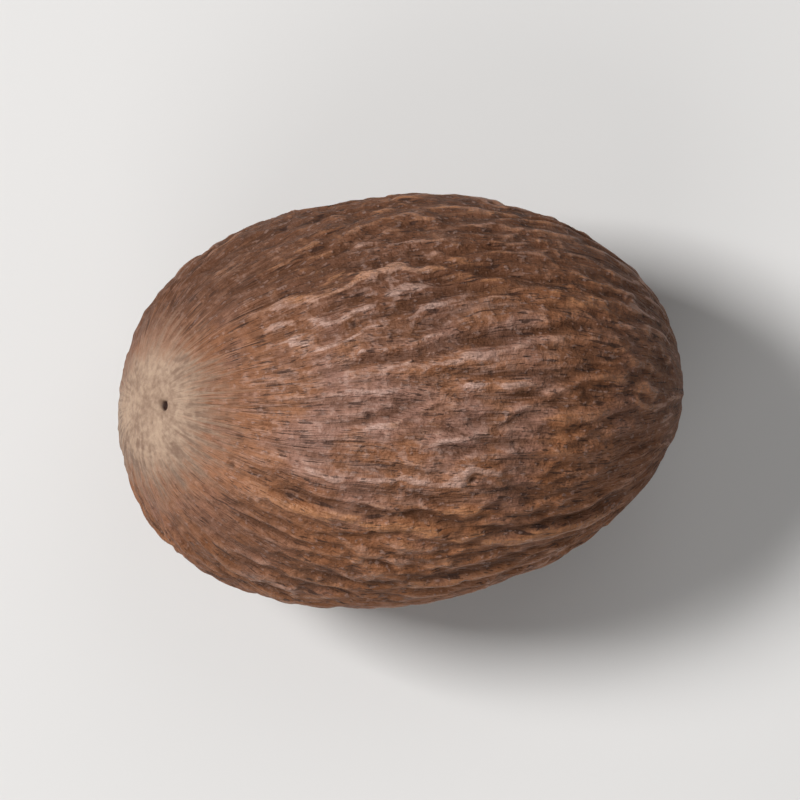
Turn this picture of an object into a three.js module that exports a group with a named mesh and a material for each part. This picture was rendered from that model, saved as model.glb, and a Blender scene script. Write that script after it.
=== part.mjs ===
// A whole nutmeg: the dried, shelled seed of the nutmeg tree, lying on its side.
// It is one hard kernel, a little broader at the end where it hung in its shell.
// That end carries the hilum, a smooth, pale, slightly raised scar.
// The other end has the chalaza, a small sunken spot, and one long low ridge, the
// raphe, runs between them. Wavy furrows follow the same way from scar to spot.
// Units are millimetres. +X runs from the hilum end to the chalaza end, +Z is up,
// and the origin is on the surface that it lies on, below the middle of its box.
import * as THREE from "three";
import { mergeVertices } from "three/addons/utils/BufferGeometryUtils.js";

// Driving dimensions of the smooth egg
const LENGTH = 28;
const WIDTH = 20.2;
const HEIGHT = 19.6;
const TAPER = 0.064; // share of the width lost at the chalaza end, and gained at the hilum
const FULLNESS = 0.02; // how much the shoulders swell past an ellipse
const REST_FLAT_DEPTH = 0.4; // what the small flat below takes off the round underside

// The two scars, as directions from the middle of the kernel
const HILUM = new THREE.Vector3(-0.86, 0.08, 0.5).normalize();
const CHALAZA = new THREE.Vector3(0.93, -0.1, -0.36).normalize();
const HILUM_RADIUS = 4.8;
const HILUM_FLAT_SHARE = 0.5; // share of the radius over which the scar is level
const HILUM_RISE = 0.16;
const CHALAZA_RADIUS = 1.9;
const CHALAZA_DEPTH = 0.7;

// Slow unevenness of the whole kernel
const LUMP_SIZE = 7;
const LUMP_HEIGHT = 0.18;

// Furrows, laid out around the chord between the two scars
const FURROW_ROUNDS = 4.6; // noise cells in one radius, which sets how many furrows there are
const FURROW_CELLS_ALONG = 2.6; // noise cells from one scar to the other
const FURROW_DEPTH = 0.2;
const FURROW_WIDTH = 0.2; // half width, as a value of the noise
const SWAY = 0.4; // how far the furrows wander, in noise cells
const SWAY_SIZE = 7; // millimetres between one bend and the next

// Where furrows fade out: at the scars, and where they crowd together near the chord
const CLEAR_OF_HILUM = [0.55 * HILUM_RADIUS, 1.7 * HILUM_RADIUS];
const CLEAR_OF_CHALAZA = [CHALAZA_RADIUS, 2.5 * CHALAZA_RADIUS];
const ROOM_RADII = [0.5, 7];

// The raphe: its turn about the chord in degrees at either end, and its shares of the chord
const RAPHE_TURNS = [50, 57];
const RAPHE_SHARES = [0.06, 0.92];
const RAPHE_FADE = 0.13;
const RAPHE_WIDTH = 0.55; // half width
const RAPHE_HEIGHT = 0.18;

// Facets along one edge of the cage that is blown up into the kernel
const CAGE_FACETS = 30;
const CAGE_SIDE = 2;
const MERGE_DISTANCE = 1e-4;

const SHELL_COLOUR = 0x8a6650;

// Offsets that give each use of the noise a pattern of its own
const LUMP_OFFSET = 3;
const SWAY_OFFSETS = [11, 23, 37];

// One step of a 32-bit mix for each row: the word changed, the word read, the turn in bits.
const MIXING = [
  [2, 1, 14],
  [0, 2, 11],
  [1, 0, 25],
  [2, 1, 16],
  [0, 2, 4],
  [1, 0, 14],
  [2, 1, 24],
];
const MIX_START = 0xdeadbeef + 25;
const WORD_BITS = 32;
const NOISE_SCALE = 0.982; // brings the sum of the corners to about -1 to 1
const CORNERS = [0, 1].flatMap((i) => [0, 1].flatMap((j) => [0, 1].map((k) => [i, j, k])));

function turnBits(word, count) {
  return ((word << count) | (word >>> (WORD_BITS - count))) >>> 0;
}

function cellHash(x, y, z) {
  const words = [x, y, z].map((value) => (MIX_START + value) >>> 0);
  for (const [changed, read, turn] of MIXING) {
    words[changed] = ((words[changed] ^ words[read]) - turnBits(words[read], turn)) >>> 0;
  }
  return words[2];
}

// What the corner of a cell adds at a place that lies x, y, z away from it.
function cornerSlope(hash, x, y, z) {
  const kind = hash & 15;
  const first = kind < 8 ? x : y;
  const third = kind === 12 || kind === 14 ? x : z;
  const second = kind < 4 ? y : third;
  return (kind & 1 ? -first : first) + (kind & 2 ? -second : second);
}

// Smooth, repeatable gradient noise, from about -1 to 1.
function noise(place) {
  const cell = place.toArray().map(Math.floor);
  const [x, y, z] = place.toArray().map((value, axis) => value - cell[axis]);
  const [u, v, w] = [x, y, z].map((t) => THREE.MathUtils.smootherstep(t, 0, 1));
  let sum = 0;
  for (const [i, j, k] of CORNERS) {
    const share = (i ? u : 1 - u) * (j ? v : 1 - v) * (k ? w : 1 - w);
    const hash = cellHash(cell[0] + i, cell[1] + j, cell[2] + k);
    sum += share * cornerSlope(hash, x - i, y - j, z - k);
  }
  return NOISE_SCALE * sum;
}

// Goes smoothly from 0 to 1 while the value goes from the first limit to the second.
function smoothStep(limits, value) {
  return THREE.MathUtils.smoothstep(value, limits[0], limits[1]);
}

// 1 where the value is zero, falling off smoothly to either side.
function bell(value, width) {
  return Math.exp(-((value / width) ** 2));
}

// The smooth egg shape, before any relief.
function bodyPoint(direction) {
  const swell = 1 + FULLNESS * 4 * direction.x ** 2 * (1 - direction.x ** 2);
  const narrowing = 1 - TAPER * direction.x;
  return new THREE.Vector3(
    (LENGTH / 2) * direction.x * swell,
    (WIDTH / 2) * direction.y * swell * narrowing,
    (HEIGHT / 2) * direction.z * swell * narrowing,
  );
}

const HILUM_POINT = bodyPoint(HILUM);
const CHALAZA_POINT = bodyPoint(CHALAZA);
const CHORD = CHALAZA_POINT.clone().sub(HILUM_POINT);
const CHORD_WAY = CHORD.clone().normalize();
const CHORD_UP = new THREE.Vector3(0, 0, 1).projectOnPlane(CHORD_WAY).normalize();
const CHORD_SIDE = new THREE.Vector3().crossVectors(CHORD_WAY, CHORD_UP);

// Where a point lies about the chord: its share of the way along it, the way out from it
// and how far out, and the turn of that way, in degrees from straight up.
function aboutChord(point) {
  const start = point.clone().sub(HILUM_POINT);
  const share = start.dot(CHORD_WAY) / CHORD.length();
  const out = start.projectOnPlane(CHORD_WAY);
  const turn = THREE.MathUtils.radToDeg(Math.atan2(out.dot(CHORD_SIDE), out.dot(CHORD_UP)));
  return { share, radius: out.length(), out: out.normalize(), turn };
}

function sway(point) {
  const pushes = SWAY_OFFSETS.map((offset) => {
    return noise(point.clone().divideScalar(SWAY_SIZE).addScalar(offset));
  });
  return new THREE.Vector3(...pushes).multiplyScalar(SWAY);
}

// Noise packed tightly round the chord and stretched along it is zero on long lines that
// part and meet again: there the furrows lie.
function furrowDepth(point, place) {
  const pattern = place.out.clone().multiplyScalar(FURROW_ROUNDS);
  pattern.addScaledVector(CHORD_WAY, place.share * FURROW_CELLS_ALONG).add(sway(point));
  const room = smoothStep(ROOM_RADII, place.radius);
  return FURROW_DEPTH * bell(noise(pattern), FURROW_WIDTH) * room;
}

function rapheHeight(place) {
  const [first, last] = RAPHE_SHARES;
  const way = smoothStep(RAPHE_SHARES, place.share);
  const aim = THREE.MathUtils.lerp(RAPHE_TURNS[0], RAPHE_TURNS[1], way);
  const across = THREE.MathUtils.degToRad(place.turn - aim) * place.radius;
  const reach = smoothStep([first, first + RAPHE_FADE], place.share) *
    (1 - smoothStep([last - RAPHE_FADE, last], place.share));
  return RAPHE_HEIGHT * bell(across, RAPHE_WIDTH) * reach;
}

// Height of the surface above the smooth egg.
function relief(point) {
  const toHilum = point.distanceTo(HILUM_POINT);
  const toChalaza = point.distanceTo(CHALAZA_POINT);
  const place = aboutChord(point);
  const lumps = LUMP_HEIGHT * noise(point.clone().divideScalar(LUMP_SIZE).addScalar(LUMP_OFFSET));
  const scarEdge = [HILUM_FLAT_SHARE * HILUM_RADIUS, HILUM_RADIUS];
  const scar = HILUM_RISE * (1 - smoothStep(scarEdge, toHilum));
  const spot = CHALAZA_DEPTH * (1 - smoothStep([0, CHALAZA_RADIUS], toChalaza));
  const clear = smoothStep(CLEAR_OF_HILUM, toHilum) * smoothStep(CLEAR_OF_CHALAZA, toChalaza);
  return lumps + scar - spot + (rapheHeight(place) - furrowDepth(point, place)) * clear;
}

// The way out of the egg's surface at a point of it.
function outwardAt(point) {
  return new THREE.Vector3(
    point.x / (LENGTH / 2) ** 2,
    point.y / (WIDTH / 2) ** 2,
    point.z / (HEIGHT / 2) ** 2,
  ).normalize();
}

// A box whose faces are split into small quads, blown up into a sphere and then into the kernel.
function kernelGeometry() {
  const sides = [CAGE_SIDE, CAGE_SIDE, CAGE_SIDE];
  const cage = new THREE.BoxGeometry(...sides, CAGE_FACETS, CAGE_FACETS, CAGE_FACETS);
  cage.deleteAttribute("normal");
  cage.deleteAttribute("uv");
  const geometry = mergeVertices(cage, MERGE_DISTANCE);
  const position = geometry.getAttribute("position");
  const vertex = new THREE.Vector3();
  for (let i = 0; i < position.count; i += 1) {
    vertex.fromBufferAttribute(position, i);
    const even = vertex.toArray().map((value) => Math.tan((value * Math.PI) / 4));
    const point = bodyPoint(new THREE.Vector3(...even).normalize());
    point.addScaledVector(outwardAt(point), relief(point));
    position.setXYZ(i, point.x, point.y, point.z);
  }
  return layDown(geometry);
}

// Lays the kernel on the ground: a small flat below, and the origin under the middle of its box.
function layDown(geometry) {
  geometry.computeBoundingBox();
  const box = geometry.boundingBox;
  const ground = box.min.z + REST_FLAT_DEPTH;
  const position = geometry.getAttribute("position");
  for (let i = 0; i < position.count; i += 1) {
    position.setZ(i, Math.max(position.getZ(i), ground));
  }
  const middle = box.getCenter(new THREE.Vector3());
  geometry.translate(-middle.x, -middle.y, -ground);
  return geometry;
}

const shell = new THREE.MeshStandardMaterial({
  color: SHELL_COLOUR,
  roughness: 0.7,
  metalness: 0,
});
const nutmeg = new THREE.Mesh(kernelGeometry(), shell);
nutmeg.name = "nutmeg";

const part = new THREE.Group();
part.add(nutmeg);

export default part;
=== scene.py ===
# %% [markdown]
# # A whole nutmeg
#
# A nutmeg is the hard, dried seed of the nutmeg tree, taken out of its thin shell. It is
# egg-shaped and about as long as a thumb joint. One end has a pale scar, the hilum, where the
# seed hung in its shell. The other end has a small sunken spot, the chalaza. Furrows run from
# the one to the other, wander, fork and meet again, and leave wavy ridges between them.
#
# Such a surface could be sculpted by hand. Here one Geometry Nodes tree makes it from a plain
# cube, because it follows a few rules, and each rule can then be changed by one number. The
# tree also writes down, at each point, how deep in a furrow it lies and how near a scar it is.
# The material reads those numbers, so colour and relief always agree.
#
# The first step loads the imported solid, which fixes where the nutmeg lies and how large it is.

# %% Load the fixed frame
import math
from typing import NamedTuple

import bpy
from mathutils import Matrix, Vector


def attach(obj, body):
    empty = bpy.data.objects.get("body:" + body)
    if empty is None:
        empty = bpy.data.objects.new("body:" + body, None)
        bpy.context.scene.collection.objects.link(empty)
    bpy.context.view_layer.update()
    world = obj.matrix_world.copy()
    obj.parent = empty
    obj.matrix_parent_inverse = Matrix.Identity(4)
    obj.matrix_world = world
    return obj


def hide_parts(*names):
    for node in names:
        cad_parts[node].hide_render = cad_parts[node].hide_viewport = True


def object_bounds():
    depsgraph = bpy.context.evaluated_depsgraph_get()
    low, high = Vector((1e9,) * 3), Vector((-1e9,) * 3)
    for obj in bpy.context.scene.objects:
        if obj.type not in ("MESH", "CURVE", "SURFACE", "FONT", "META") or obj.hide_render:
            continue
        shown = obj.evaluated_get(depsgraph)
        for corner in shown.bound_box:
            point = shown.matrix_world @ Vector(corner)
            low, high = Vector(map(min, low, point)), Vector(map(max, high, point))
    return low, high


MM = 0.001
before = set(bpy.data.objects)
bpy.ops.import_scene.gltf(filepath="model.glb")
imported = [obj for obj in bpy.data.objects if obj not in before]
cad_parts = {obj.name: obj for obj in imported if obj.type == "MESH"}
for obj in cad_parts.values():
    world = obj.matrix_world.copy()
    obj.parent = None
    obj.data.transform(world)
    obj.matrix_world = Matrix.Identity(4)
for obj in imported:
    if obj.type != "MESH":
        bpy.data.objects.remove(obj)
cad_low, cad_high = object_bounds()


def in_mm(sides):
    """Lengths in metres, as rounded millimetres to print."""
    return [round(side / MM, 2) for side in sides]


print("solids:", *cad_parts, "box", in_mm(cad_high - cad_low), "mm")

# %% [markdown]
# ## Sizes
#
# The driving sizes repeat those of the solid: length, width and height of the smooth egg, and
# the directions in which the two scars lie, seen from its middle. They could be measured from the
# solid, but its relief would blur them. The relief is tenths of a millimetre deep, so every length
# in the tree is in millimetres, where such numbers are easy to read. The step that lays the kernel
# down turns them into metres.

# %% Sizes of the kernel
LENGTH = 28.0
WIDTH = 20.2
HEIGHT = 19.6
TAPER = 0.064  # share of the width lost at the chalaza end, and gained at the hilum
FULLNESS = 0.02  # how much the shoulders swell past an ellipse
REST_FLAT_DEPTH = 0.4  # what the small flat below takes off the round underside
HILUM = Vector((-0.86, 0.08, 0.5)).normalized()
CHALAZA = Vector((0.93, -0.1, -0.36)).normalized()
HILUM_RADIUS = 4.8
CHALAZA_RADIUS = 1.9


def body_point(direction):
    """Point of the smooth egg that lies in a direction from its middle."""
    swell = 1 + FULLNESS * 4 * direction.x**2 * (1 - direction.x**2)
    narrowing = 1 - TAPER * direction.x
    return Vector(
        (
            LENGTH / 2 * direction.x * swell,
            WIDTH / 2 * direction.y * swell * narrowing,
            HEIGHT / 2 * direction.z * swell * narrowing,
        )
    )


HILUM_POINT = body_point(HILUM)
CHALAZA_POINT = body_point(CHALAZA)
print("hilum at", [round(part, 1) for part in HILUM_POINT], "mm from the middle")
print("chalaza at", [round(part, 1) for part in CHALAZA_POINT], "mm from the middle")

# %% [markdown]
# ## Node trees written as sums
#
# The kernel's tree has nearly nine hundred nodes, and it would be hard to read if each of them
# took four lines. The class below stands for the output of a node, a field, and turns the signs
# + - * / between fields and plain numbers into math nodes. A formula in the script then looks
# like a formula. It works in geometry trees and in materials alike.


# %% A field: the output of a node
class Field:
    """The output of a node, which makes further math nodes when it is added or multiplied."""

    def __init__(self, tree, socket):
        self.tree = tree
        self.socket = socket

    def __add__(self, other):
        return combine("ADD", self, other)

    def __radd__(self, other):
        return combine("ADD", other, self)

    def __sub__(self, other):
        return combine("SUBTRACT", self, other)

    def __rsub__(self, other):
        return combine("SUBTRACT", other, self)

    def __mul__(self, other):
        return combine("MULTIPLY", self, other)

    def __rmul__(self, other):
        return combine("MULTIPLY", other, self)

    def __truediv__(self, other):
        return combine("DIVIDE", self, other)


def plug(socket, value):
    """Links a field into a socket, or sets the socket to a plain value."""
    if isinstance(value, Field):
        value.tree.links.new(value.socket, socket)
    else:
        socket.default_value = value


def has_parts(value):
    """Whether a value is a vector of three parts, as a field, a Vector or a tuple."""
    if isinstance(value, Field):
        return value.socket.type == "VECTOR"
    return isinstance(value, (Vector, tuple))


def combine(operation, *sides):
    """One math node for two sides, or a vector math node where either side is a vector."""
    if not any(has_parts(side) for side in sides):
        return math_node(operation, *sides)
    full = [(side,) * 3 if isinstance(side, (int, float)) else side for side in sides]
    return vector_node(operation, *full)


print("signs that make nodes:", "+ - * /")


# %% Math nodes by name
def operation_node(kind, operation, values, output):
    """A node of one of the two math kinds, with its inputs filled in order."""
    tree = next(value.tree for value in values if isinstance(value, Field))
    node = tree.nodes.new(kind)
    node.operation = operation
    for socket, value in zip(node.inputs, values):
        plug(socket, value)
    return Field(tree, node.outputs[output])


def math_node(operation, *values):
    return operation_node("ShaderNodeMath", operation, values, "Value")


def vector_node(operation, *values, output="Vector"):
    return operation_node("ShaderNodeVectorMath", operation, values, output)


def dot(first, second):
    return vector_node("DOT_PRODUCT", first, second, output="Value")


def distance(first, second):
    return vector_node("DISTANCE", first, second, output="Value")


def normalized(field):
    return vector_node("NORMALIZE", field)


def parts_of(field):
    """The three parts of a vector field, each as a field."""
    node = field.tree.nodes.new("ShaderNodeSeparateXYZ")
    plug(node.inputs[0], field)
    return [Field(field.tree, socket) for socket in node.outputs]


def vector_of(*parts):
    """A vector field made of three fields."""
    tree = parts[0].tree
    node = tree.nodes.new("ShaderNodeCombineXYZ")
    for socket, part in zip(node.inputs, parts):
        plug(socket, part)
    return Field(tree, node.outputs[0])


helpers = (dot, distance, normalized, parts_of, vector_of)
print("vector helpers:", *[helper.__name__ for helper in helpers])

# %% [markdown]
# ## The words that the surface is written in
#
# Everything on a nutmeg is soft-edged and a little random, so the rules need only a few words.
# A step rises smoothly between two limits. A bell is a soft ridge round zero. Noise is a random
# land of smooth hills. It takes an offset, so that each use of it has a pattern of its own, which
# comes out the same in every run. Random numbers could scatter the same hills point by point, but
# they would change with the number of points.


# %% Steps, bells and noise
def step(field, start, end, low=0.0, high=1.0):
    """Goes smoothly from low to high while the field goes from start to end."""
    node = field.tree.nodes.new("ShaderNodeMapRange")
    node.interpolation_type = "SMOOTHSTEP"
    limits = {"Value": field, "From Min": start, "From Max": end, "To Min": low, "To Max": high}
    for name, value in limits.items():
        plug(node.inputs[name], value)
    return Field(field.tree, node.outputs["Result"])


def bell(field, width):
    """1 where the field is zero, falling off smoothly to either side."""
    scaled = field / width
    return math_node("EXPONENT", 0.0 - scaled * scaled)


def power(field, exponent):
    return math_node("POWER", field, exponent)


def clamped(field):
    """The field, held between 0 and 1."""
    return math_node("MINIMUM", math_node("MAXIMUM", field, 0.0), 1.0)


def noise(place, size=1.0, offset=0.0, detail=0.0):
    """Noise from about -1 to 1. size is the distance from one of its hills to the next."""
    node = place.tree.nodes.new("ShaderNodeTexNoise")
    node.normalize = False
    plug(node.inputs["Vector"], place / size + offset)
    node.inputs["Scale"].default_value = 1.0
    node.inputs["Detail"].default_value = detail
    return Field(place.tree, node.outputs[0])


def to_nearest_point(place, size, offset):
    """Distance to the nearest of points that are scattered about one size apart, in sizes."""
    node = place.tree.nodes.new("ShaderNodeTexVoronoi")
    plug(node.inputs["Vector"], place / size + offset)
    node.inputs["Scale"].default_value = 1.0
    return Field(place.tree, node.outputs["Distance"])


def added(fields):
    """The sum of a list of fields."""
    return sum(fields[1:], fields[0])


def layered_noise(place, layers):
    """The sum of noises, each given by its size, its offset and its reach."""
    return added([noise(place, size, offset) * reach for size, offset, reach in layers])


helpers = (step, bell, power, clamped, noise, to_nearest_point, added, layered_noise)
print("pattern helpers:", *[helper.__name__ for helper in helpers])

# %% [markdown]
# ## The kernel's tree
#
# A cube split into a fine grid is blown up into a sphere and then into an egg. A globe of
# meridians could be used instead, but its triangles crowd together at two ends. A
# cube's squares stay nearly the same size everywhere, so the relief is equally fine all over.
# The tangent of each part evens them out further.

# %% Start the tree, with a named input for each size
KERNEL_SIZES = {
    "Length": LENGTH,
    "Width": WIDTH,
    "Height": HEIGHT,
    "Taper": TAPER,
    "Fullness": FULLNESS,
    "Lump height": 0.18,
    "Furrow depth": 0.2,
    "Long ridge height": 0.26,
    "Groove depth": 0.1,
    "Crest height": 0.11,
    "Row height": 0.15,
    "Swell height": 0.1,
    "Twig height": 0.1,
    "Worm height": 0.09,
    "Grit height": 0.025,
    "Pit depth": 0.22,
    "Scar rise": 0.16,
    "Spot depth": 0.7,
    "Pore depth": 0.5,
    "Rest flat depth": REST_FLAT_DEPTH,
}
kernel = bpy.data.node_groups.new("nutmeg_kernel", "GeometryNodeTree")
kernel.interface.new_socket("Geometry", in_out="INPUT", socket_type="NodeSocketGeometry")
for label in KERNEL_SIZES:
    kernel.interface.new_socket(label, in_out="INPUT", socket_type="NodeSocketFloat")
kernel.interface.new_socket("Geometry", in_out="OUTPUT", socket_type="NodeSocketGeometry")
entry = kernel.nodes.new("NodeGroupInput")
given = {label: Field(kernel, entry.outputs[label]) for label in KERNEL_SIZES}


def geometry_node(kind, geometry, **values):
    """A node of the kernel's tree that takes geometry in and gives it out."""
    node = kernel.nodes.new(kind)
    kernel.links.new(geometry, node.inputs["Geometry"])
    for name, value in values.items():
        plug(node.inputs[name.title()], value)
    return node


print("the kernel's tree has", len(given), "named sizes")

# %% From cube to egg
CAGE_FACETS = 127  # along one edge of the cube
CAGE_SIDE = 2
CAGE_TRIANGLES = 6 * 2 * CAGE_FACETS**2  # six sides, and two triangles to a square
cage = kernel.nodes.new("GeometryNodeMeshCube")
cage.inputs["Size"].default_value = (CAGE_SIDE, CAGE_SIDE, CAGE_SIDE)
for axis in "XYZ":
    cage.inputs[f"Vertices {axis}"].default_value = CAGE_FACETS + 1
place = Field(kernel, kernel.nodes.new("GeometryNodeInputPosition").outputs[0])
even = [math_node("TANGENT", part * (math.pi / 4)) for part in parts_of(place)]
dx, dy, dz = parts_of(normalized(vector_of(*even)))
swell = 1 + given["Fullness"] * 4 * dx * dx * (1 - dx * dx)
narrowing = swell * (1 - given["Taper"] * dx)
egg = vector_of(
    given["Length"] * 0.5 * dx * swell,
    given["Width"] * 0.5 * dy * narrowing,
    given["Height"] * 0.5 * dz * narrowing,
)
egg_mesh = geometry_node("GeometryNodeSetPosition", cage.outputs["Mesh"], position=egg)
print("a cage of", CAGE_TRIANGLES, "triangles")

# %% [markdown]
# ## The way the furrows run
#
# A straight chord joins the two scars through the kernel. Each point of the surface has a share
# of the way along that chord, a radius off it and a turn about it. These three say where a point
# lies between the furrows that run from scar to scar, as longitude and latitude do on a globe.
# The long axis of the egg would be simpler, but neither scar lies on it.

# %% Where a point lies about the chord
DEGREE = math.radians(1)
CHORD = CHALAZA_POINT - HILUM_POINT
CHORD_WAY = CHORD.normalized()
CHORD_SIDE = CHORD_WAY.cross(Vector((0, 0, 1))).normalized()
CHORD_UP = CHORD_SIDE.cross(CHORD_WAY)
from_hilum = place - HILUM_POINT
share = dot(from_hilum, CHORD_WAY) / CHORD.length
off_chord = from_hilum - share * CHORD
radius = vector_node("LENGTH", off_chord, output="Value")
turn = math_node("ARCTAN2", dot(off_chord, CHORD_SIDE), dot(off_chord, CHORD_UP)) / DEGREE
print("the chord is", round(CHORD.length, 1), "mm long")

# %% [markdown]
# ## Places in the furrow pattern
#
# A nutmeg has hundreds of furrows, too many to draw one by one. Noise that is packed tightly
# round the chord and stretched along it makes long furrows that gather at both scars, as on the
# real seed. A slow random sway bends them, and a quick one makes them wriggle. The real furrows
# come in three finenesses, so there are three such places.

# %% Stretched and swaying places


def sway(reach, bend, offsets):
    """A random push: its reach, and the distance from one bend to the next."""
    pushes = [noise(place, size=bend, offset=offset) for offset in offsets]
    return vector_of(*pushes) * reach


def chord_place(rounds, cells_along, push):
    """A place for noise: rounds says how many furrows there are, cells_along how short they are."""
    return normalized(off_chord) * rounds + share * cells_along * CHORD_WAY + push


slow_sway = sway(reach=0.4, bend=7.0, offsets=(11, 23, 37))
quick_sway = sway(reach=0.46, bend=1.8, offsets=(51, 67, 83))
furrow_place = chord_place(rounds=4.6, cells_along=2.6, push=slow_sway)
crest_place = chord_place(rounds=9.4, cells_along=4.6, push=slow_sway * 1.6 + quick_sway)
twig_place = chord_place(rounds=15.0, cells_along=9.0, push=slow_sway * 2.2 + quick_sway * 1.8)
print("nodes so far:", len(kernel.nodes))

# %% [markdown]
# ## Bare ends
#
# The furrows fade out before they reach the scars, and where they crowd together close to the
# chord. The finest ones, the twigs, fade sooner, because there they would be narrower than a
# facet. On this kernel a patch of the top, next to the pale scar, is also nearly smooth: the
# field named awake is low there. The field named ripe makes ridges lower near the scar, and
# uneven from patch to patch.
#
# A mask painted by hand could say all this. Distances do it here, because they need no new
# painting when the kernel is made longer or rounder. Each kind of relief is multiplied by some
# of the fields, which are 1 where it has its full height and lower where it fades out.

# %% Where the relief fades out
# Each pair of distances says where a kind of relief starts and where it has its full height.
CLEAR_OF_HILUM = (0.55 * HILUM_RADIUS, 1.7 * HILUM_RADIUS)
FINE_CLEAR_OF_HILUM = (0.6 * HILUM_RADIUS, 1.4 * HILUM_RADIUS)
CLEAR_OF_CHALAZA = (CHALAZA_RADIUS, 2.5 * CHALAZA_RADIUS)
ROOM_RADII = (0.5, 7.0)
TWIG_ROOM_RADII = (3.5, 9.0)
CALM_POINT = body_point(Vector((-0.56, -0.08, 0.82)))
CALM_REACH = (1.2, 4.6)
CALM_RELIEF = 0.3  # share of the fine relief that is left on the calm patch
RIPE_REACH = (3.5, 10.0)
RIPE_AT_HILUM = 0.42  # share of the ridges' height that is left there
to_hilum = distance(place, HILUM_POINT)
to_chalaza = distance(place, CHALAZA_POINT)
clear_of_chalaza = step(to_chalaza, *CLEAR_OF_CHALAZA)
clear = step(to_hilum, *CLEAR_OF_HILUM) * clear_of_chalaza
clear_for_fine = step(to_hilum, *FINE_CLEAR_OF_HILUM) * clear_of_chalaza
room = step(radius, *ROOM_RADII)
twig_room = step(radius, *TWIG_ROOM_RADII)
awake = step(distance(place, CALM_POINT), *CALM_REACH, low=CALM_RELIEF)
ripe_patches = step(noise(place, size=5.0, offset=41.0), -0.5, 0.3, low=0.65)
ripe = step(to_hilum, *RIPE_REACH, low=RIPE_AT_HILUM) * ripe_patches
print("furrows start", round(CLEAR_OF_HILUM[0], 1), "mm from the middle of the hilum")

# %% [markdown]
# ## The long ridges
#
# A few ridges stand out from the rest and can be followed for a third of the length. The longest
# is the raphe, the seam along which the seed was fed. Each one is a line that goes from one turn
# about the chord to another, with a wiggle, a dip on both sides and a groove along its upper edge.
# Drawing them as lines of a table, rather than leaving them to chance, puts each one in its place.


# %% What one long ridge is
class Ridge(NamedTuple):
    turns: tuple  # degrees about the chord, at its start and its end
    shares: tuple  # of the chord, at its start and its end
    half_width: float
    tallness: float  # 1 is the tree's long ridge height
    groove: float  # 1 is the tree's groove depth
    ochre: float = 0.0  # how much of the raphe's ochre colour it has


LONG_RIDGES = {
    "raphe": Ridge((50, 57), (0.06, 0.92), 0.44, 1.15, 0.7, ochre=1.0),
    "inner seam": Ridge((45, 42), (0.26, 0.72), 0.24, 0.7, 0.3, ochre=0.4),
    "low crest": Ridge((27, 22), (0.34, 0.72), 0.26, 0.8, 0.4),
    "forked crest": Ridge((20, -2), (0.42, 0.82), 0.26, 0.9, 0.6),
    "short crest": Ridge((17, 6), (0.28, 0.52), 0.22, 0.85, 0.5),
    "beaded crest": Ridge((4, 2), (0.22, 0.7), 0.26, 1.0, 0.5),
    "great crest": Ridge((-3, -14), (0.24, 0.84), 0.34, 1.2, 1.2, ochre=0.2),
    "pale crest": Ridge((-20, -25), (0.24, 0.6), 0.36, 0.95, 0.5),
    "inner flank": Ridge((-46, -23), (0.2, 0.86), 0.36, 0.95, 0.9, ochre=0.8),
    "outer flank": Ridge((-80, -63), (0.12, 0.8), 0.36, 0.9, 1.0, ochre=0.7),
    "far flank": Ridge((84, 70), (0.2, 0.8), 0.34, 0.8, 1.0, ochre=0.5),
    "back ridge": Ridge((128, 120), (0.15, 0.85), 0.38, 0.9, 1.0),
    "under ridge": Ridge((-140, -150), (0.15, 0.85), 0.36, 0.9, 1.0),
}
print(len(LONG_RIDGES), "long ridges:", ", ".join(LONG_RIDGES))

# %% Raise the long ridges
ENDS_FADE = 0.13  # share of the chord over which a ridge fades in and out
DIP_HALF_WIDTH = 0.85
DIP_SHARE = 0.5  # of the ridge's height
GROOVE_GAP = 0.34
GROOVE_HALF_WIDTH = 0.26
SEAM_HALF_WIDTH = 0.8
WIGGLES = ((4.6, 71.0, 0.24), (1.9, 61.0, 0.28), (0.9, 65.0, 0.14))  # size, offset, reach
wiggle = layered_noise(place, WIGGLES)
profiles, grooves, seams = [], [], []
for ridge in LONG_RIDGES.values():
    first, last = ridge.shares
    across = (turn - step(share, first, last, *ridge.turns)) * DEGREE * radius + wiggle
    fade_out = step(share, last - ENDS_FADE, last, low=1.0, high=0.0)
    ends = step(share, first, first + ENDS_FADE) * fade_out
    beads = step(noise(place, size=1.3, offset=19.0 + ridge.turns[0]), -0.55, 0.1, low=0.6)
    dip = bell(across, DIP_HALF_WIDTH) * DIP_SHARE
    profiles.append((bell(across, ridge.half_width) * beads - dip) * ends * ridge.tallness)
    beside = across + (ridge.half_width + GROOVE_GAP)
    grooves.append(bell(beside, GROOVE_HALF_WIDTH) * ends * ridge.groove)
    seams.append(bell(across, SEAM_HALF_WIDTH) * ends * ridge.ochre)
long_ridge, long_groove, seam = added(profiles), added(grooves), added(seams)
print("nodes so far:", len(kernel.nodes))

# %% [markdown]
# ## Furrows, rows, crests and twigs
#
# Where noise passes through zero there is a line, and such lines part and meet again, just as the
# furrows do. A bell round zero turns them into furrows, or into crests and the still finer twigs.
# Noise without a bell is a slow swelling, which lifts some ridges above others. Close-set rows come
# from a cosine of the turn, pushed to and fro by noise, because their distance is much the same
# all over.

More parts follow.
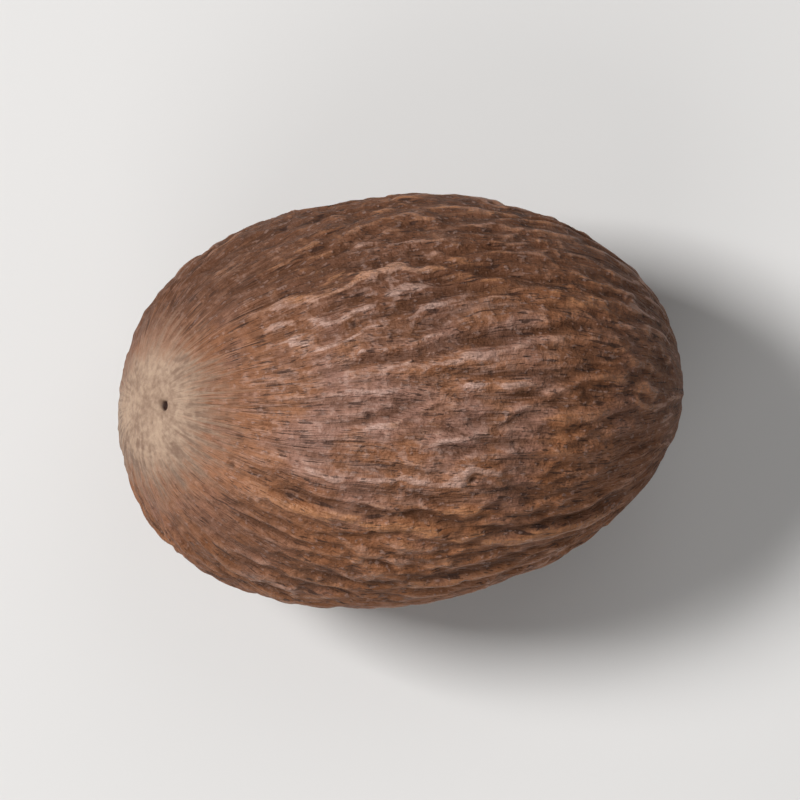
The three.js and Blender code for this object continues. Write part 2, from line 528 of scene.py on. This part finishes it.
# %% Furrows and the finer ridges between them
FURROW_WIDTH = 0.2  # half width, as a value of the noise, like the two below
CREST_WIDTH = 0.16
TWIG_WIDTH = 0.17
SWELLING_OFFSET = (0.0, 0.0, 6.5)
ROWS = 46
ROW_PUSHES = ((6.0, 15.0, 1.6), (2.3, 27.0, 0.56), (1.1, 33.0, 0.22))  # size, offset, reach in rows
ROW_SHARPNESS = 2.3
main_furrow = bell(noise(furrow_place), FURROW_WIDTH)
swelling = noise(crest_place + SWELLING_OFFSET)
crest = bell(noise(crest_place), CREST_WIDTH)
twig = bell(noise(twig_place), TWIG_WIDTH)
rows_passed = turn * (ROWS / 360) + layered_noise(place, ROW_PUSHES)
wave = math_node("COSINE", rows_passed * (2 * math.pi))
row = power(wave * 0.5 + 0.5, ROW_SHARPNESS)
row_strength = step(noise(crest_place * 0.5, offset=4.0), -0.5, 0.2, low=0.3)
print(ROWS, "rows,", round(2 * math.pi * WIDTH / 2 / ROWS, 2), "mm apart at the widest place")

# %% [markdown]
# ## Worms, grit and pits
#
# Short pale lines as curled as worms lie across the rows on the top. Grit makes the skin dry to
# the eye, and a few pits were left by insects or by handling. They don't follow the furrows, so
# they come from noise and scattered points that aren't stretched along the chord.

# %% Worms, grit and pits
WORM_WIDTH = 0.14
PIT_EDGE = (0.04, 0.11)  # in shares of the size of their scatter
worm_sway = sway(reach=0.5, bend=1.4, offsets=(103, 107, 109))
worm_patches = step(noise(place, size=3.4, offset=121.0), -0.2, 0.4)
worm = bell(noise(place + worm_sway, size=1.5, offset=113.0), WORM_WIDTH) * worm_patches
grit = noise(place, size=0.55, offset=91.0)
pit = (1 - step(to_nearest_point(place, size=2.1, offset=7.0), *PIT_EDGE)) * clear
print("nodes so far:", len(kernel.nodes))

# %% [markdown]
# ## The two scars and the pore
#
# The hilum stands up a little with a ragged edge, and near its middle is the pore through which
# the seed would have sprouted, no wider than a pinhole. Its cream colour also runs down the
# outer side, towards the tip of the egg. The chalaza is a soft hollow. Cut with other solids, all
# three would get hard rims, so each is a smooth step of the distance from its middle.

# %% Scars and pore
HILUM_FLAT_SHARE = 0.5  # share of the radius over which the scar is level
PORE_POINT = body_point(Vector((-0.81, 0.05, 0.58)).normalized())
PORE_EDGE = (0.12, 0.38)
OUTER_SCAR_POINT = body_point(Vector((-0.98, 0.06, 0.16)).normalized())
OUTER_SCAR_LAG = 1.2  # how much sooner the cream ends about the outer point than about the hilum
SCAR_JOIN = 1.5  # how softly the two distances join
scar_edge = noise(place, size=1.4, offset=5.0) * 0.6 + noise(crest_place, size=0.6) * 0.5
scar = 1 - step(to_hilum + scar_edge, HILUM_FLAT_SHARE * HILUM_RADIUS, HILUM_RADIUS)
spot_edge = noise(place, size=0.9, offset=9.0) * 0.4
spot = 1 - step(to_chalaza + spot_edge, 0.0, CHALAZA_RADIUS)
to_pore = distance(place, PORE_POINT)
pore = 1 - step(to_pore, *PORE_EDGE)
to_outer_scar = distance(place, OUTER_SCAR_POINT) + OUTER_SCAR_LAG
to_scar = math_node("SMOOTH_MIN", to_hilum, to_outer_scar, SCAR_JOIN)
print("the pore is", round((PORE_POINT - HILUM_POINT).length, 1), "mm from the middle of the hilum")

# %% [markdown]
# ## The whole relief
#
# The parts are now added up, each times its height. Fine ridges are counted from a little below
# their own middle, so that they add no bulk. Handling has levelled the highest crests. A plain
# minimum would cut them off flat, so a soft one rounds them and keeps the outline free of spikes.

# %% Add the parts up
FINE_MIDDLE = 0.35  # share of a fine ridge's height that lies below the smooth egg
RUBBED_HEIGHT = 0.17
RUBBED_SOFTNESS = 0.16
SEAM_CALM = 0.4  # share of the fine relief that is missing on the raphe
coarse = (
    given["Long ridge height"] * long_ridge
    - given["Groove depth"] * long_groove
    - given["Furrow depth"] * main_furrow * room
    + given["Swell height"] * swelling * ripe * room
) * clear
fine = (
    given["Crest height"] * (crest - FINE_MIDDLE) * ripe
    + given["Row height"] * (row - FINE_MIDDLE) * row_strength
    + given["Twig height"] * (twig - FINE_MIDDLE) * twig_room
    + given["Worm height"] * worm
) * room * clear_for_fine * awake * (1 - seam * SEAM_CALM)
rubbed = math_node("SMOOTH_MIN", coarse + fine, RUBBED_HEIGHT, RUBBED_SOFTNESS)
rough = rubbed + given["Grit height"] * grit * clear_for_fine
relief = (
    given["Lump height"] * noise(place, size=7.0, offset=3.0)
    + rough
    + given["Scar rise"] * scar
    - given["Spot depth"] * spot
    - given["Pore depth"] * pore
    - given["Pit depth"] * pit
)
print("nodes so far:", len(kernel.nodes))

# %% [markdown]
# ## What the tree writes down
#
# A material knows only where a point lies. To put dust and painted shade into the furrows, and a
# pale rub, partly a painted highlight, on the ridges, it needs to know which is which. A painted
# picture could tell it, but the tree knows it already, so it stores its own fields on the points,
# each under a name. It also stores two places for patterns finer than the facets: the grain, one
# more place about the chord, and the ray, the way that leads out of the hilum.

# %% Marks for the material
HEIGHT_GAIN = 5.0  # brings the relief to about -1 to 1
furrow_relief = given["Furrow depth"] * main_furrow * room * clear
row_valley = power(0.5 - wave * 0.5, 4.0) * row_strength * ripe * awake * clear
row_crest = crest * 0.6 + power(row, 2.0) * row_strength * 0.9
fine_crest = row_crest * ripe * room * clear_for_fine * awake
marks = {
    "height": (rough + furrow_relief * 0.5) * HEIGHT_GAIN,
    "valley": clamped(row_valley + long_groove * clear * 0.8),
    "crest": clamped(fine_crest + (worm * 0.8 * awake + long_ridge) * clear),
    "seam": clamped(seam * clear),
    "spot": spot,
    "pit": pit,
    "to_hilum": to_hilum,
    "to_scar": to_scar,
    "to_pore": to_pore,
}
RAY_SQUASH = Vector((2.6, 1.0, 1.6))  # makes the ring of rays round the hilum an oval one
way_from_hilum = normalized(from_hilum / RAY_SQUASH)
patterns = {
    "grain": chord_place(rounds=7.6, cells_along=3.4, push=slow_sway * 1.4),
    "ray": way_from_hilum * 2.2 + place * 0.1,
}


def keep(geometry, name, field, kind):
    """Stores a field on the points, under a name that a material can read."""
    node = geometry_node("GeometryNodeStoreNamedAttribute", geometry)
    node.data_type = kind
    node.inputs["Name"].default_value = name
    plug(node.inputs["Value"], field)
    return node.outputs["Geometry"]


marked = egg_mesh.outputs["Geometry"]
for name, field in marks.items():
    marked = keep(marked, name, field, "FLOAT")
for name, field in patterns.items():
    marked = keep(marked, name, field, "FLOAT_VECTOR")
print("marks:", ", ".join([*marks, *patterns]))

# %% [markdown]
# ## Raise the relief and lay the kernel down
#
# The points now move outwards by the relief. A ridge narrower than a facet would lift a single
# point and stand out as a spike, so each height first moves half way towards the mean of its
# neighbours. More facets would cure that too, but they would make the piece heavy to use.
#
# A round kernel on a table settles on one spot, and the small flat there lets it rest: points
# below the ground are lifted to it. The ground and the middle come from the tree's own bounding
# box, so they stay right when a size is changed.

# %% Raise and lay down
SMOOTHING = 0.5  # how far each point's height moves towards the mean of its neighbours
half_axes = Vector((LENGTH, WIDTH, HEIGHT)) / 2
outward = normalized(place / (half_axes * half_axes))
smoother = kernel.nodes.new("GeometryNodeBlurAttribute")
smoother.data_type = "FLOAT"
plug(smoother.inputs["Value"], relief)
smoother.inputs["Iterations"].default_value = 1
smoother.inputs["Weight"].default_value = SMOOTHING
rise = outward * Field(kernel, smoother.outputs["Value"])
raised = geometry_node("GeometryNodeSetPosition", marked, offset=rise).outputs["Geometry"]
box = geometry_node("GeometryNodeBoundBox", raised)
lowest, highest = Field(kernel, box.outputs["Min"]), Field(kernel, box.outputs["Max"])
middle_x, middle_y, _ = parts_of((lowest + highest) / 2)
ground = parts_of(lowest)[2] + given["Rest flat depth"]
x, y, z = parts_of(place)
laid = vector_of(x - middle_x, y - middle_y, math_node("MAXIMUM", z, ground) - ground)
laid_down = geometry_node("GeometryNodeSetPosition", raised, position=laid * MM)
print("the kernel's tree has", len(kernel.nodes), "nodes up to here")

# %% [markdown]
# ## The finish
#
# Dry nutmeg is matt. Its ridges are rubbed to a warm tan, and the pale tips are partly painted
# highlights. The furrows hold dark brown dust, which here is also painted shade in the hollows and
# on the flanks. A grey, almost lilac bloom lies over the top, and is partly painted reflection.
# Under a lens it is full of short dark flecks that follow the furrows. The hilum is cream, with
# fine rays at its edge.
#
# Such a finish is a pile of thin layers, so the material is written as one: each line lays a
# colour over the skin, as strongly as a pattern or a mark of the tree says. The number that ends
# such a strength is the share of the colour that shows where the pattern is full. The colours are
# given as red, green and blue from 0 to 255, and turned into the linear values that light needs.


# %% Colours
def linear_of(shown):
    """The linear value of one shown on a screen, both from 0 to 1, by the sRGB formula."""
    if shown <= 0.04045:
        return shown / 12.92
    return ((shown + 0.055) / 1.055) ** 2.4


def colour_of(red, green, blue):
    """The linear colour, with alpha, of a colour given as it looks on a screen."""
    return (*[linear_of(value / 255) for value in (red, green, blue)], 1.0)


WARM_TAN = colour_of(168, 118, 87)
# darker tan for pale ridges away from the top: painted shade on the flanks
FLANK_TAN_IN_PAINTED_SHADE = colour_of(150, 104, 77)
BROWN = colour_of(124, 79, 51)
# dark brown: painted shade on the far end and the upper flank, and dark streaks near the hilum
SHADE = colour_of(98, 60, 38)
# grey-lilac bloom, partly painted reflection, laid strongest on the top
BLOOM_AND_PAINTED_REFLECTION = colour_of(146, 113, 104)
RUST = colour_of(146, 90, 50)
# darker rust: painted shade on the lower flank
RUST_SHADE = colour_of(118, 72, 42)
OCHRE = colour_of(166, 112, 72)
# pale lilac tan and rust of worn ridges and specks; on the ridge tips partly painted highlight
CREST_TAN = colour_of(184, 151, 138)
CREST_RUST = colour_of(172, 118, 78)
# dust in specks and furrows, and painted shade in the hollows, on the flanks and on the shoulders
DUST_AND_PAINTED_SHADE = colour_of(76, 43, 21)
FLECK = colour_of(44, 22, 12)
CREAM = colour_of(162, 138, 117)
CREAM_SHADE = colour_of(116, 91, 75)
CREAM_RIM = colour_of(136, 101, 80)
CHALAZA_GREY = colour_of(50, 38, 33)
print("warm tan in linear light:", [round(value, 3) for value in WARM_TAN[:3]])

# %% Start the material, and read the marks
skin_material = bpy.data.materials.new("nutmeg_skin")
skin_material.use_nodes = True
skin_tree = skin_material.node_tree
shader = skin_tree.nodes["Principled BSDF"]


# The mix node has sockets for every kind of value. These are the factor and the two colours.
MIX_INPUTS = (0, 6, 7)
MIX_OUTPUT = 2


def attribute(name, output="Fac"):
    """What the kernel's tree stored on the points under a name."""
    node = skin_tree.nodes.new("ShaderNodeAttribute")
    node.attribute_name = name
    return Field(skin_tree, node.outputs[output])


def blend(strength, under, over):
    """One colour laid over another, by a field or a plain share."""
    node = skin_tree.nodes.new("ShaderNodeMix")
    node.data_type = "RGBA"
    for index, value in zip(MIX_INPUTS, (strength, under, over)):
        plug(node.inputs[index], value)
    return Field(skin_tree, node.outputs[MIX_OUTPUT])


where = Field(skin_tree, skin_tree.nodes.new("ShaderNodeTexCoord").outputs["Object"]) / MM
mark = {name: attribute(name) for name in marks}
grain, ray = [attribute(name, "Vector") for name in patterns]
print("the material reads", len(mark) + len(patterns), "marks")

# %% [markdown]
# ## Patterns of the skin
#
# Streaks, threads, hairs and dashes follow the furrows, so they are noise on the stretched grain.
# Mottling, specks and the broad changes of colour don't, so they are noise on the plain place in
# millimetres. Each has the size at which the eye finds it on the real seed. A picture wrapped round
# the kernel could hold them all, but it would be stretched at both ends.

# %% Patterns, from broad to fine
broad = noise(where, size=6.0, offset=2.0, detail=2.0)
rust_patches = noise(where, size=4.0, offset=13.0, detail=2.0)
bloom_patches = noise(where, size=3.2, offset=21.0, detail=2.0)
smudge = noise(where, size=1.3, offset=43.0, detail=3.0)
mottle = noise(where, size=0.9, offset=4.0, detail=3.0)
crumbs = noise(where, size=0.45, offset=57.0, detail=1.0)
speck = noise(where, size=0.28, offset=29.0, detail=2.0)
powder = noise(where, size=0.12, offset=31.0, detail=1.0)
streak = noise(grain, size=0.34, offset=3.0, detail=2.0)
hair = noise(grain, size=0.2, offset=63.0, detail=1.0)
dash = noise(grain, size=0.15, offset=47.0, detail=1.0)
thread = noise(grain, size=0.12, offset=8.0, detail=2.0)
fleck = noise(grain, size=0.075, offset=17.0, detail=1.0)
print("nodes in the material:", len(skin_tree.nodes))

# %% [markdown]
# ## Broad colours
#
# The skin goes from brown to tan in streaks, with rusty patches below and a lilac bloom on top,
# which is partly painted reflection. The skin round the hilum is darker, and the far end and both
# flanks are darkened with painted shade.
# One ramp from end to end would be simpler, but then all of these would have one and the same edge.

# %% Lay down the broad colours
TOP_OF_KERNEL = (0.0, 0.0, 19.0)
length_way, side_way, _ = parts_of(where)
top = 1 - step(distance(where, TOP_OF_KERNEL), 3.0, 10.0)
near_hilum = 1 - step(mark["to_hilum"], 3.0, 11.0)
rust_place = rust_patches + thread * 0.3 - top * 0.7 - near_hilum * 0.3 + mark["seam"] * 0.7
rusty = step(rust_place, -0.5, 0.3)
# bloom in patches, pushed onto the top, where it is partly painted reflection
bloom_and_reflection_mask = step(bloom_patches + streak * 0.3 + top * 0.5, 0.0, 0.7)
skin = blend(step(streak * 0.6 + mottle * 0.7 + broad * 0.3, -0.7, 0.7), BROWN, WARM_TAN)
skin = blend(rusty * 0.55, skin, RUST)
skin = blend(bloom_and_reflection_mask * 0.55, skin, BLOOM_AND_PAINTED_REFLECTION)
skin = blend(near_hilum * 0.25, skin, BROWN)
skin = blend(step(streak + mottle * 0.3, -0.2, 0.5) * near_hilum * 0.6, skin, SHADE)
# painted shade: the far end and the upper flank darkened with dark brown, the lower flank with a
# darker rust
skin = blend(step(length_way, 4.5, 13.0) * 0.75, skin, SHADE)
skin = blend(step(side_way + broad * 2.0, 0.0, 6.0) * 0.95, skin, SHADE)
skin = blend(step(broad * 2.0 - side_way, 2.5, 8.0) * 0.65, skin, RUST_SHADE)
print("nodes in the material:", len(skin_tree.nodes))

# %% [markdown]
# ## Ridges and furrows
#
# Ridges are paler where they are rubbed, in patches and not along their whole length, and their
# pale tips are partly painted highlights. Furrows hold dust, and their darkening is also painted
# shade in the hollows, laid more strongly away from the top. Ambient occlusion could find them
# too, but it would miss the shallow ones. Here both read the relief's own height, so a pale line
# never runs beside its ridge.

# %% Pale ridges and dusty furrows
# pale colour of tips, hairs and crumbs; away from the top it darkens to a tan as painted shade on
# the flanks
light = blend(rusty, CREST_TAN, CREST_RUST)
light = blend((1 - top) * 0.65, light, FLANK_TAN_IN_PAINTED_SHADE)
skin = blend(step(crumbs + streak * 0.3, 0.1, 0.6) * 0.35, skin, light)
skin = blend(step(streak * 0.3 - crumbs, 0.1, 0.6) * 0.35, skin, DUST_AND_PAINTED_SHADE)
# furrows and valleys darkened by their height: dust, and painted shade in the hollows; laid more
# strongly away from the top as painted shade on the flanks
skin = blend(step(mottle * 0.4 - mark["height"], 0.0, 1.1) * (0.7 - top * 0.2), skin, DUST_AND_PAINTED_SHADE)
skin = blend(step(mark["valley"] + streak * 0.3, 0.3, 0.9) * (0.6 - top * 0.1), skin, DUST_AND_PAINTED_SHADE)
# pale ridge tips: wear, and partly painted highlights
tip = step(mark["height"] * 0.5 + mark["crest"] * 0.8 + streak * 0.25, 0.6, 1.0)
patchy = mottle + speck * 0.6
skin = blend(tip * step(patchy, -0.7, 0.5, low=0.35, high=0.8), skin, light)
skin = blend(mark["seam"] * tip * step(patchy, -0.6, 0.5) * 0.65, skin, OCHRE)
print("nodes in the material:", len(skin_tree.nodes))

# %% [markdown]
# ## Hairs and flecks
#
# Pale hairs run with the grain, and dark threads, flecks and dashes lie among them. They are what
# makes the skin look dry and fibrous from close by. Real fibres would need millions of triangles,
# so they are colour here, and part of the bump further on. At the end, both shoulders, to the
# sides of the hilum, are darkened with painted shade.

# %% Hairs, threads, flecks and specks
skin = blend(step(hair + mottle * 0.3, 0.2, 0.55) * (near_hilum * 0.3 + 0.2), skin, light)
skin = blend(step(thread + mottle * 0.6, 0.1, 0.8) * 0.4, skin, FLECK)
skin = blend(step(fleck + speck * 0.5, 0.4, 0.7) * 0.7, skin, FLECK)
skin = blend(step(dash + mottle * 0.4 - tip * 0.2, 0.42, 0.62) * 0.75, skin, FLECK)
skin = blend(step(speck + thread * 0.5, 0.35, 0.8) * 0.3, skin, CREST_TAN)
# painted shade on both shoulders, to the sides of the hilum
hilum_half = step(mark["to_hilum"], 5.0, 14.0, low=1.0, high=0.0)
painted_shoulder_shade = step(math_node("ABSOLUTE", side_way), 3.0, 8.0) * hilum_half
skin = blend(painted_shoulder_shade * 0.6, skin, DUST_AND_PAINTED_SHADE)
print("nodes in the material:", len(skin_tree.nodes))

# %% [markdown]
# ## The hilum and the dark spots
#
# The cream of the hilum fades into the skin in rays, over a few millimetres. The chalaza is dark
# grey, and the pits and the pore are nearly black. A second material for their faces would end in
# steps along the facets, so they are the last layers of the same one.

# %% Cream scar, grey spot, dark pits
rays = noise(ray, size=0.16, offset=5.0, detail=2.0) * step(mark["to_hilum"], 1.0, 3.6)
ragged = (rays + streak * step(mark["to_hilum"], 2.0, 4.0)) * 1.3 + smudge * 0.8
fade = mark["to_scar"] + ragged + step(side_way, 0.5, 4.0, high=1.1)
pale = blend(step(smudge * 0.5 + rays + speck * 0.5, -0.9, 0.8), CREAM_SHADE, CREAM)
pale = blend(step(fade, 2.4, 5.2), pale, CREAM_RIM)
skin = blend(step(fade, 3.0, 6.2), pale, skin)
skin = blend(step(mark["spot"], 0.1, 0.8), skin, CHALAZA_GREY)
hole = 1 - step(mark["to_pore"], 0.2, 0.3)
skin = blend(clamped(mark["pit"] * 0.9 + hole), skin, FLECK)
plug(shader.inputs["Base Color"], skin)
print("nodes in the material:", len(skin_tree.nodes))

# %% [markdown]
# ## Gloss and the finest grain
#
# Rubbed tips shine a little more than dusty furrows. The relief finer than a tenth of a
# millimetre is left to a bump, because it would need millions of triangles, and no outline
# shows it. Threads and flecks fade out on the hilum, which is smooth.

# %% Roughness and bump
BUMP_HEIGHT = 0.07
BUMP_STRENGTH = 0.8
SKIN_ROUGHNESS = 0.7
SKIN_GLOSS = 0.32
plug(shader.inputs["Roughness"], SKIN_ROUGHNESS - tip * 0.22 + mottle * 0.08)
shader.inputs["Specular IOR Level"].default_value = SKIN_GLOSS
off_scar = step(mark["to_hilum"], 1.5, 5.0)
bump = skin_tree.nodes.new("ShaderNodeBump")
plug(bump.inputs["Height"], (thread * 0.7 - fleck * 0.4) * off_scar + speck * 0.5 + powder * 0.2)
bump.inputs["Strength"].default_value = BUMP_STRENGTH
bump.inputs["Distance"].default_value = BUMP_HEIGHT * MM
skin_tree.links.new(bump.outputs["Normal"], shader.inputs["Normal"])
print("the finished material has", len(skin_tree.nodes), "nodes")

# %% [markdown]
# ## Grow the kernel
#
# The tree ends by making any instances real and setting the material. It then runs once, on
# an empty mesh, and its result is kept as a plain mesh, because what is handed on has to stand
# without the tree. The sizes go to the modifier by the identifiers of its inputs, which
# stay the same when a name changes.

# %% End the tree
smooth = geometry_node("GeometryNodeSetShadeSmooth", laid_down.outputs["Geometry"])
real = geometry_node("GeometryNodeRealizeInstances", smooth.outputs["Geometry"])
painted = geometry_node("GeometryNodeSetMaterial", real.outputs["Geometry"], material=skin_material)
leave = kernel.nodes.new("NodeGroupOutput")
kernel.links.new(painted.outputs["Geometry"], leave.inputs["Geometry"])
print("the finished kernel's tree has", len(kernel.nodes), "nodes")


# %% Run it, and keep the plain mesh
def grow(tree, sizes, name):
    """Runs a geometry tree on an empty mesh and keeps its result as a plain mesh object."""
    seed = bpy.data.objects.new("seed", bpy.data.meshes.new("seed"))
    bpy.context.scene.collection.objects.link(seed)
    modifier = seed.modifiers.new("grow", "NODES")
    modifier.node_group = tree
    for item in tree.interface.items_tree:
        if item.in_out == "INPUT" and item.name in sizes:
            modifier[item.identifier] = sizes[item.name]
    grown = seed.evaluated_get(bpy.context.evaluated_depsgraph_get())
    mesh = bpy.data.meshes.new_from_object(grown)
    mesh.name = name
    seed.modifiers.remove(modifier)
    bpy.data.objects.remove(seed)
    piece = bpy.data.objects.new(name, mesh)
    bpy.context.scene.collection.objects.link(piece)
    return piece


nutmeg = grow(kernel, KERNEL_SIZES, "nutmeg_kernel")
print(nutmeg.name, len(nutmeg.data.polygons), "faces", in_mm(nutmeg.dimensions), "mm")

# %% [markdown]
# ## Camera
#
# The camera looks almost straight down at the nutmeg, a little from the front, and is turned so
# that the kernel lies aslant by a few degrees. A long lens from far away keeps its outline true.

# %% Camera
VIEW_ELEVATION = math.radians(85)
VIEW_AZIMUTH = math.radians(-6.9)
CAMERA_DISTANCE = 0.6
SENSOR = 36.0  # its width in millimetres
FRAME_WIDTH = 0.0395  # what the picture spans, in metres, at the middle of the kernel
target = (cad_low + cad_high) / 2
back = Vector(
    (
        math.sin(VIEW_AZIMUTH) * math.cos(VIEW_ELEVATION),
        -math.cos(VIEW_AZIMUTH) * math.cos(VIEW_ELEVATION),
        math.sin(VIEW_ELEVATION),
    )
)
camera_data = bpy.data.cameras.new("camera")
camera_data.sensor_width = SENSOR
camera_data.lens = SENSOR * CAMERA_DISTANCE / FRAME_WIDTH
camera_data.clip_start = 0.01
camera_data.clip_end = 20
camera = bpy.data.objects.new("camera", camera_data)
camera.location = target + back * CAMERA_DISTANCE
camera.rotation_euler = back.to_track_quat("Z", "Y").to_euler()
bpy.context.scene.collection.objects.link(camera)
bpy.context.scene.camera = camera
print("lens", round(camera_data.lens), "mm")

# %% [markdown]
# ## Floor
#
# A plain pale floor shows the outline and takes a soft shadow. It is one large square, so that
# its edges stay out of every view.

# %% Floor
FLOOR_HALF = 3.0
FLOOR_GREY = (0.6, 0.59, 0.58, 1)
FLOOR_ROUGHNESS = 0.8
floor_material = bpy.data.materials.new("floor_paint")
floor_material.use_nodes = True
floor_shader = floor_material.node_tree.nodes["Principled BSDF"]
floor_shader.inputs["Base Color"].default_value = FLOOR_GREY
floor_shader.inputs["Roughness"].default_value = FLOOR_ROUGHNESS
corners = [(FLOOR_HALF * x, FLOOR_HALF * y, 0) for x, y in ((-1, -1), (1, -1), (1, 1), (-1, 1))]
floor_mesh = bpy.data.meshes.new("floor")
floor_mesh.from_pydata(corners, [], [(0, 1, 2, 3)])
floor_mesh.materials.append(floor_material)
floor = bpy.data.objects.new("floor", floor_mesh)
bpy.context.scene.collection.objects.link(floor)
print("floor", 2 * FLOOR_HALF, "m square")

# %% [markdown]
# ## Light
#
# A soft key light from the upper left rakes over the ridges and gives each one a bright and a
# dark side. A weak fill and a front light keep the shadows open, and a faint white world stands
# for the walls of a studio.


# %% Lights
def soft_light(name, place_mm, watts, size_mm):
    """A square lamp that faces the nutmeg."""
    lamp_data = bpy.data.lights.new(name, "AREA")
    lamp_data.energy = watts
    lamp_data.size = size_mm * MM
    lamp = bpy.data.objects.new(name, lamp_data)
    lamp.location = Vector(place_mm) * MM
    lamp.rotation_euler = (lamp.location - target).to_track_quat("Z", "Y").to_euler()
    lamp.visible_camera = False
    bpy.context.scene.collection.objects.link(lamp)
    return lamp


lamps = [
    soft_light("key", (-370, 145, 475), watts=4.5, size_mm=180),
    soft_light("fill", (180, 290, 500), watts=0.34, size_mm=360),
    soft_light("front", (-215, -430, 360), watts=1.0, size_mm=400),
]
WHITE = (1, 1, 1, 1)
WORLD_STRENGTH = 0.2
world = bpy.data.worlds.new("studio")
world.use_nodes = True
background = world.node_tree.nodes["Background"]
background.inputs["Color"].default_value = WHITE
background.inputs["Strength"].default_value = WORLD_STRENGTH
bpy.context.scene.world = world
bpy.context.scene.view_settings.view_transform = "Standard"
print(len(lamps), "lamps of", [lamp.data.energy for lamp in lamps], "watts")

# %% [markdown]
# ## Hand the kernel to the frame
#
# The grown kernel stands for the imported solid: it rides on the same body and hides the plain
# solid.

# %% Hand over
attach(nutmeg, "root")
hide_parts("nutmeg")
